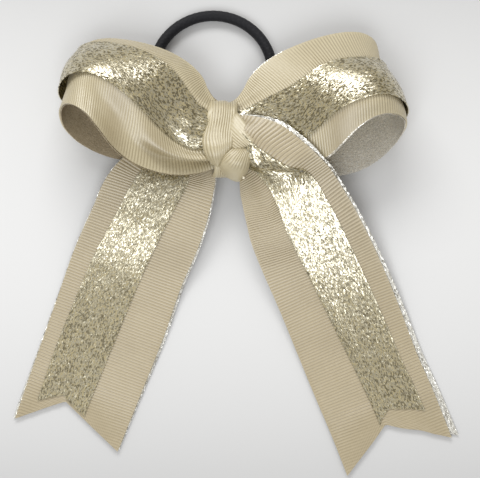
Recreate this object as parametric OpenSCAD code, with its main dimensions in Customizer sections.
// Hair bow with two loops, two fishtail streamers, a tied centre knot and an
// elastic ponytail ring. Lies on its back: +Z is the front of the bow, +Y is
// the ponytail ring's side, -Y is the way the streamers hang. The origin is on
// the rest plane under the middle of the knot. Millimetres.

/* [Ribbon] */
// width of the grosgrain base ribbon
base_w = 38; // [37.5:0.5:39]
// width of the metallic overlay ribbon on the front
overlay_w = 17.5; // [14:0.5:20]
// width of the metallic backing ribbon on the reverse
backing_w = 38; // [36:0.5:38.5]
// thickness of the grosgrain
base_t = 0.4; // [0.35:0.01:0.42]
// thickness of each metallic ribbon
metal_t = 0.3; // [0.2:0.01:0.32]
// air gap between stacked ribbons
layer_gap = 0.15; // [0.12:0.01:0.18]

/* [Loops] */
// reach of the left loop from the knot centre
left_reach = 56; // [53:0.5:58]
// reach of the right loop from the knot centre
right_reach = 62; // [59:0.5:64]
// height of the crown of the loops above the rest plane
loop_rise = 27; // [25:0.5:27.5]
// height of the back walls of the loops above the rest plane
back_rise = 6.6; // [6.3:0.1:6.7]

/* [Streamers] */
// left streamer, from its hinge line to its two points
left_tail_len = 85; // [75:1:100]
// right streamer, from its hinge line to its two points
right_tail_len = 103; // [92:1:115]
// depth of the V cut at each streamer end
notch = 11; // [6:0.5:16]
// how far the backing of each streamer is moved across it, towards +X
backing_shift = 1.2; // [0:0.1:1.6]

/* [Knot] */
// depth of the knot from its back strap to its front
knot_h = 19; // [18:0.5:20]
// size of the gathered waist along Y
waist_w = 20; // [19:0.5:20]
// thickness of the knot ribbon
knot_t = 0.8; // [0.7:0.05:0.9]

/* [Elastic] */
// diameter of the covered elastic cord
cord_d = 3.8; // [3.7:0.1:4]
// radius of the ring, to the middle of the cord
ring_r = 20.5; // [20:0.5:23]
// diameter of the rubber core inside the woven cover
core_d = 2.2; // [1.6:0.1:2.4]

/* [Hidden] */
$fn = 48;

TAN = [0.80, 0.73, 0.58];
GOLD = [0.80, 0.76, 0.62];
SILVER = [0.86, 0.86, 0.84];
THREAD_TAN = [0.78, 0.71, 0.56];
GLUE_CREAM = [0.88, 0.85, 0.74];
COVER_BLACK = [0.05, 0.05, 0.055];
CORE_BLACK = [0.12, 0.12, 0.12];
SLEEVE_BLACK = [0.07, 0.07, 0.07];

// The stacked ribbons: [width, distance outwards from the base, thickness].
layer_pitch = base_t / 2 + layer_gap + metal_t / 2;
grosgrain = [base_w, 0, base_t];
overlay = [overlay_w, layer_pitch, metal_t];
backing = [backing_w, -layer_pitch, metal_t];

// the channel along X behind the waist that the elastic ring turns in
channel_r = cord_d / 2 + 0.75;
channel_y = 6;
channel_z = knot_t + channel_r;

// heights of the three passes of the ribbon through the waist
pass_pitch = 1.75;
pass_z = [for (k = [0:2]) channel_z + channel_r + 2.2 + pass_pitch * k];
waist_y = 1;

// ---------------------------------------------------------------- ribbons

// A path is a list of stations [x, y, z, across x, across y, across z, width]:
// the middle of the ribbon, the direction across it, and its gathered width.
// A position on a path is a station number, with fractions between stations.

// Catmull-Rom spline through the stations
function station_at(path, pos) =
    let (last = len(path) - 1,
         i = max(0, min(floor(pos), last - 1)),
         f = pos - i,
         before = path[max(i - 1, 0)],
         start = path[i],
         end = path[i + 1],
         after = path[min(i + 2, last)])
    0.5 * (2 * start + (end - before) * f
           + (2 * before - 5 * start + 4 * end - after) * f * f
           + (3 * start - before - 3 * end + after) * f * f * f);

function middle(station) = [station[0], station[1], station[2]];
function unit(v) = v / norm(v);
function across(station) = unit([station[3], station[4], station[5]]);
function along(path, pos) =
    let (step = 0.02, last = len(path) - 1)
    unit(middle(station_at(path, min(last, pos + step)))
         - middle(station_at(path, max(0, pos - step))));
function outwards(path, pos) =
    unit(cross(across(station_at(path, pos)), along(path, pos)));

// a point of the ribbon, side across from its middle and off outwards
function ribbon_point(path, pos, side, off) =
    let (station = station_at(path, pos))
    middle(station) + across(station) * side * station[6] / base_w
    + outwards(path, pos) * off;

// One layer along a whole path, moved shift across; cut is the depth of the V
// at the far end, in stations.
module ribbon(path, layer, rows, columns = 4, shift = 0, cut = 0) {
    width = layer[0];
    off = layer[1];
    thickness = layer[2];
    last = len(path) - 1;

    function pos(i, j) = (last - cut * (1 - abs(2 * j / columns - 1))) * i / rows;
    function side(j) = shift + width * (j / columns - 0.5);
    points = [for (s = [-1, 1], i = [0:rows], j = [0:columns])
        ribbon_point(path, pos(i, j), side(j), off + s * thickness / 2)];

    // point index; face 0 is the inner face, 1 the outer
    function id(face, i, j) = (face * (rows + 1) + i) * (columns + 1) + j;
    quads = concat(
        // outer and inner faces
        [for (i = [0:rows - 1], j = [0:columns - 1])
            [id(1, i, j), id(1, i + 1, j), id(1, i + 1, j + 1), id(1, i, j + 1)]],
        [for (i = [0:rows - 1], j = [0:columns - 1])
            [id(0, i, j), id(0, i, j + 1), id(0, i + 1, j + 1), id(0, i + 1, j)]],
        // long edges
        [for (i = [0:rows - 1])
            [id(0, i, 0), id(0, i + 1, 0), id(1, i + 1, 0), id(1, i, 0)]],
        [for (i = [0:rows - 1])
            [id(0, i, columns), id(1, i, columns),
             id(1, i + 1, columns), id(0, i + 1, columns)]],
        // ends
        [for (j = [0:columns - 1])
            [id(0, 0, j), id(1, 0, j), id(1, 0, j + 1), id(0, 0, j + 1)]],
        [for (j = [0:columns - 1])
            [id(0, rows, j), id(0, rows, j + 1), id(1, rows, j + 1), id(1, rows, j)]]);
    triangles = [for (quad = quads, k = [1, 2]) [quad[0], quad[k], quad[k + 1]]];
    polyhedron(points = points, faces = triangles, convexity = 6);
}

// ---------------------------------------------------------------- paths

// where the loops and streamer roots leave the waist
root_x = 5.2;

// out along the front, round the end, back along the table side
left_loop_path = [
    [-root_x, waist_y, pass_z[2], 0, 1, 0, waist_w],
    [-10, 3, pass_z[2] + 1.6, 0.15, 1, -0.05, waist_w + 5],
    [-19, 8.5, loop_rise * 0.72, 0.45, 1, -0.3, 33],
    [-31, 15, loop_rise * 0.92, 0.6, 1, -0.5, base_w],
    [-43, 19, loop_rise * 0.92, 0.55, 1, -0.55, base_w],
    [-left_reach + 3.5, 20, loop_rise * 0.76, 0.35, 1, -0.45, base_w],
    [-left_reach, 18, loop_rise * 0.54, 0.25, 1, -0.3, base_w],
    [-left_reach + 5, 15, loop_rise * 0.36, 0.15, 1, -0.16, base_w],
    [-37, 11, back_rise + 0.3, 0.05, 1, -0.03, base_w],
    [-22, 6, back_rise, 0, 1, 0, 34],
    [-11, 2, pass_z[0] - 0.8, 0, 1, 0, waist_w + 5],
    [-root_x, waist_y, pass_z[0], 0, 1, 0, waist_w]];

// out along the table side, round the end, back along the front
right_loop_path = [
    [root_x, waist_y, pass_z[0], 0, 1, 0, waist_w],
    [11, 2, pass_z[0] - 0.9, 0, 1, 0, waist_w + 5],
    [22, 4.5, back_rise, -0.03, 1, 0, 34],
    [38, 8.5, back_rise + 0.4, -0.1, 1, -0.06, base_w],
    [right_reach - 7, 14, loop_rise * 0.36, -0.2, 1, -0.12, base_w],
    [right_reach - 1, 18.5, loop_rise * 0.54, -0.3, 1, -0.2, base_w],
    [right_reach - 2.5, 22, loop_rise * 0.76, -0.35, 1, -0.25, base_w],
    [46, 22.5, loop_rise * 0.9, -0.45, 1, -0.2, base_w],
    [33, 18.5, loop_rise * 0.8, -0.6, 1, -0.05, base_w],
    [20, 10.5, loop_rise * 0.56, -0.45, 1, 0.1, 33],
    [10.5, 3.5, pass_z[1] + 0.6, -0.15, 1, 0.02, waist_w + 4],
    [root_x, waist_y, pass_z[1], 0, 1, 0, waist_w]];

// out of the waist between the two walls of the left loop, over the back
// wall, turning down
left_root_path = [
    [-root_x, 0.8, pass_z[1], 0, 1, 0, waist_w - 0.6],
    [-7.8, 0.3, pass_z[1], -0.05, 1, 0, waist_w],
    [-12, -2.8, pass_z[1] - 0.1, -0.35, 1, 0, waist_w + 4],
    [-17.5, -7.8, pass_z[1] - 0.2, -1, 1, 0.02, waist_w + 11],
    [-23, -14.2, pass_z[1] - 0.6, -0.9, 0.4, 0, 36.5],
    [-24.3, -16.8, pass_z[1] - 1.15, -0.948, 0.318, 0, base_w]];

// out of the waist over the right loop, turning down
right_root_path = [
    [root_x, waist_y, pass_z[2], 0, -1, 0, waist_w],
    [10, 0.5, pass_z[2] + 1.7, -0.1, -1, 0, waist_w],
    [15, -2, pass_z[2] + 4.7, -0.5, -1, 0.02, waist_w + 2],
    [18.5, -5.5, pass_z[2] + 7.2, -1, -0.7, 0, 26],
    [20.5, -9, pass_z[2] + 7.4, -1, -0.2, 0, 32]];

// a full-width streamer station, run away from the hinge point in plan
function tail_station(hinge, dir, run, z) =
    [hinge.x + dir.x * run, hinge.y + dir.y * run, z, dir.y, -dir.x, 0, base_w];
function left_tail_station(run, z) = tail_station([-25, -18], [-0.318, -0.948], run, z);
function right_tail_station(run, z) = tail_station([21.6, -10.2], [0.3665, -0.93], run, z);

// the streamers' last spans start at these shares of their lengths
left_last_start = 0.75;
right_last_start = 0.8;
tail_rest_z = 0.75;

left_tail_path = [
    left_tail_station(0, pass_z[1] - 1.35),
    left_tail_station(8, 6.9),
    left_tail_station(20, 3.9),
    left_tail_station(36, 1.4),
    left_tail_station(left_tail_len * left_last_start, tail_rest_z),
    left_tail_station(left_tail_len, tail_rest_z)];

right_tail_path = [
    [20.8, -10.2, pass_z[2] + 7.2, -1, -0.2, 0, 33],
    [22, -14, pass_z[2] + 5.9, -1, -0.25, 0, 35.5],
    [24.6, -20, 14.2, -0.95, -0.32, 0, 37.5],
    right_tail_station(23, 7.4),
    right_tail_station(38, 2.6),
    right_tail_station(52, 0.85),
    right_tail_station(right_tail_len * right_last_start, tail_rest_z),
    right_tail_station(right_tail_len, tail_rest_z)];

// ---------------------------------------------------------------- loops and streamers

// each loop carries the root of the streamer on its side
module left_loop(layer) {
    ribbon(left_loop_path, layer, rows = 66);
    ribbon(left_root_path, layer, rows = 25);
}
module right_loop(layer) {
    ribbon(right_loop_path, layer, rows = 66);
    ribbon(right_root_path, layer, rows = 22);
}
module left_tail(layer, shift = 0) {
    ribbon(left_tail_path, layer, rows = 30, columns = 8, shift = shift,
           cut = notch / (left_tail_len * (1 - left_last_start)));
}
module right_tail(layer, shift = 0) {
    ribbon(right_tail_path, layer, rows = 42, columns = 8, shift = shift,
           cut = notch / (right_tail_len * (1 - right_last_start)));
}

module left_loop_grosgrain() { color(TAN) left_loop(grosgrain); }
module left_loop_overlay() { color(GOLD) left_loop(overlay); }
module left_loop_backing() { color(SILVER) left_loop(backing); }
module right_loop_grosgrain() { color(TAN) right_loop(grosgrain); }
module right_loop_overlay() { color(GOLD) right_loop(overlay); }
module right_loop_backing() { color(SILVER) right_loop(backing); }
module left_tail_grosgrain() { color(TAN) left_tail(grosgrain); }
module left_tail_overlay() { color(GOLD) left_tail(overlay); }
module left_tail_backing() { color(SILVER) left_tail(backing, -backing_shift); }
module right_tail_grosgrain() { color(TAN) right_tail(grosgrain); }
module right_tail_overlay() { color(GOLD) right_tail(overlay); }
module right_tail_backing() { color(SILVER) right_tail(backing, -backing_shift); }

// ---------------------------------------------------------------- waist

pass_len = 6.6;

// three flat passes of a layer, its ungathered width less trim
module passes(layer, trim = 0) {
    width = (layer[0] - trim) * waist_w / base_w;
    thickness = layer[2];
    for (z = pass_z)
        translate([-pass_len / 2, waist_y - width / 2, z + layer[1] - thickness / 2])
            cube([pass_len, width, thickness]);
}
module waist_grosgrain() { color(TAN) passes(grosgrain); }
module waist_overlay() { color(GOLD) passes(overlay); }
module waist_backing() { color(SILVER) passes(backing, trim = 1.5); }

thread_d = 0.4;
thread_y = 0.9;
thread_pitch = 0.8;
thread_reach = 2.4; // first and last turns, either side of x = 0

// one racetrack turn of thread round the passes
module thread_turn(x) {
    half_straight = waist_w / 2 - 1.1;
    bend_r = pass_pitch + 1.05;
    translate([x, thread_y, pass_z[1]]) {
        for (s = [-1, 1])
            translate([0, -half_straight, s * bend_r]) rotate([-90, 0, 0])
                cylinder(d = thread_d, h = 2 * half_straight, $fn = 20);
        for (s = [0, 1])
            translate([0, (1 - 2 * s) * half_straight, 0])
                rotate([0, 90, 0]) rotate([0, 0, 180 * s])
                    rotate_extrude(angle = 180, $fn = 40)
                        translate([bend_r, 0]) circle(d = thread_d, $fn = 16);
    }
}
module cinch_thread() {
    color(THREAD_TAN)
        for (x = [-thread_reach:thread_pitch:thread_reach]) thread_turn(x);
}

// ---------------------------------------------------------------- knot

band_len = 10.6;
band_y0 = -12.2;
band_y1 = 13.8;
band_top = pass_z[2] + 2.6; // inner face of the band's front
strap_x = -7;
strap_len = 8.5;

module rounded_rect(radius, y0, y1, z0, z1) {
    for (y = [y0 + radius, y1 - radius], z = [z0 + radius, z1 - radius])
        translate([y, z]) circle(r = radius, $fn = 40);
    translate([y0 + radius, z0]) square([y1 - y0 - 2 * radius, z1 - z0]);
    translate([y0, z0 + radius]) square([y1 - y0, z1 - z0 - 2 * radius]);
}

// ribbon band round the waist
module waist_band() {
    translate([-band_len / 2, 0, 0]) rotate([90, 0, 90]) linear_extrude(band_len)
        difference() {
            rounded_rect(3.6, band_y0, band_y1, pass_z[0] - 2.0, band_top + knot_t);
            rounded_rect(3.0, band_y0 + knot_t, band_y1 - knot_t, pass_z[0] - 1.3, band_top);
        }
}

// tube along X round the elastic's channel, on a flat strip
module back_strap() {
    difference() {
        translate([strap_x, channel_y, 0]) rotate([90, 0, 90]) linear_extrude(strap_len)
            union() {
                translate([0, channel_z]) circle(r = channel_r + knot_t, $fn = 64);
                translate([-9, 0]) square([15, knot_t]);
            }
        translate([strap_x - 1, channel_y, channel_z]) rotate([0, 90, 0])
            cylinder(r = channel_r, h = 12, $fn = 64);
    }
}

module centre_knot_ribbon() {
    color(TAN) {
        waist_band();
        back_strap();
    }
}

front_z = knot_h - 2.6;
lobe_flatness = 0.55;

module lobe(start, end, start_r, end_r) {
    hull() {
        translate(start) scale([1, 1, lobe_flatness]) sphere(r = start_r, $fn = 28);
        translate(end) scale([1, 1, lobe_flatness]) sphere(r = end_r, $fn = 28);
    }
}

// the crossing lobes of the tied ribbon, cut off just clear of the band
module knot_front_wrap() {
    lobe_foot_z = band_top + 1.0;
    color(TAN) difference() {
        union() {
            lobe([-0.4, 9.6, lobe_foot_z], [-0.6, 2.4, front_z - 0.6], 4.8, 5.2);
            lobe([-0.6, 2.0, front_z - 0.6], [-1.0, -6.4, front_z - 1.6], 5.2, 3.8);
            lobe([0.2, 1.6, front_z - 0.7], [5.6, -2.6, front_z - 1.6], 4.6, 3.6);
            lobe([4.6, -4.0, front_z - 1.4], [3.4, -9.4, lobe_foot_z], 4.4, 4.2);
        }
        translate([-30, -30, -1]) cube([60, 60, 1 + band_top + knot_t + 0.1]);
    }
}

// block between the back strap's tube and the band
module glue_pad() {
    pad_z = channel_z + 1.2;
    color(GLUE_CREAM) difference() {
        translate([-4, channel_y - 6.4, pad_z]) cube([7, 4.4, pass_z[0] - 2.1 - pad_z]);
        translate([-10, channel_y, channel_z]) rotate([0, 90, 0])
            cylinder(r = channel_r + knot_t + 0.06, h = 20, $fn = 64);
    }
}

// ---------------------------------------------------------------- elastic

ring_x = -3;
// tips the far side of the ring down to the rest plane
ring_tilt = -asin((channel_z - cord_d / 2) / (2 * ring_r));
cover_gap_angle = 16;
sleeve_angle = 15.2;

module ring_pose() {
    translate([ring_x, channel_y, channel_z]) rotate([ring_tilt, 0, 0])
        translate([0, ring_r, 0]) children();
}
// sweeps a cord section through an arc centred on the ring's +Y side
module far_arc(angle) {
    rotate([0, 0, 90 - angle / 2]) rotate_extrude(angle = angle, $fn = 120)
        translate([ring_r, 0]) children();
}
module hollow_section(outer_d) {
    difference() {
        circle(d = outer_d, $fn = 32);
        circle(d = core_d + 0.1, $fn = 24);
    }
}

// the woven cover stops short where the ends are bonded
module elastic_cover() {
    color(COVER_BLACK) ring_pose() difference() {
        rotate_extrude($fn = 120) translate([ring_r, 0]) hollow_section(cord_d);
        far_arc(cover_gap_angle)
            translate([-cord_d, -cord_d]) square([2 * cord_d, 2 * cord_d]);
    }
}
module elastic_core() {
    color(CORE_BLACK) ring_pose()
        rotate_extrude($fn = 120) translate([ring_r, 0]) circle(d = core_d, $fn = 24);
}
module elastic_crimp_sleeve() {
    color(SLEEVE_BLACK) ring_pose() far_arc(sleeve_angle) hollow_section(cord_d - 0.2);
}

centre_knot_ribbon();
knot_front_wrap();
waist_grosgrain();
waist_overlay();
waist_backing();
cinch_thread();
glue_pad();
elastic_cover();
elastic_core();
elastic_crimp_sleeve();
left_loop_grosgrain();
left_loop_overlay();
left_loop_backing();
right_loop_grosgrain();
right_loop_overlay();
right_loop_backing();
left_tail_grosgrain();
left_tail_overlay();
left_tail_backing();
right_tail_grosgrain();
right_tail_overlay();
right_tail_backing();
